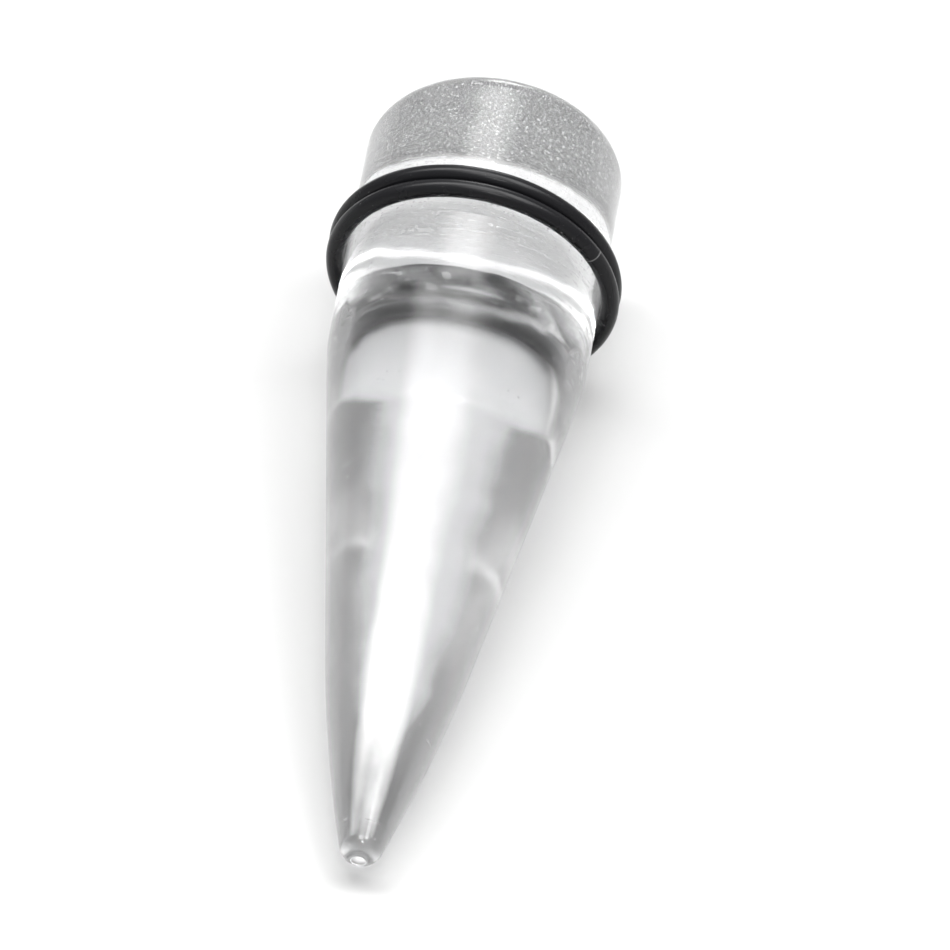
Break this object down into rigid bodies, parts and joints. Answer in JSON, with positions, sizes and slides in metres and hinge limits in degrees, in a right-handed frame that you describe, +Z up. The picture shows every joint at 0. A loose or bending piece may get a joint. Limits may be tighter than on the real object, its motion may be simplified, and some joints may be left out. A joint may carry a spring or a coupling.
{
  "type": "ear stretching taper",
  "caption": "Clear acrylic ear stretching taper: a straight tail with rubber O-rings, a long smooth taper and a rounded tip, lying as it rests on a table.",
  "frame": {"origin": "on the surface that the taper lies on, below the middle of its box", "axes": "+Z up, the taper lies along Y with its tail towards +Y and its tip towards -Y, dipping to the tip"},
  "size_m": [0.023, 0.0724, 0.0228],
  "materials": {
    "clear_acrylic": "clear polished acrylic, matt where the tail face is sawn",
    "black_rubber": "semi-gloss moulded rubber"
  },
  "bodies": {
    "root": {"taper_body": "clear_acrylic", "ring_back": "black_rubber", "ring_front": "black_rubber"}
  },
  "joints": []
}
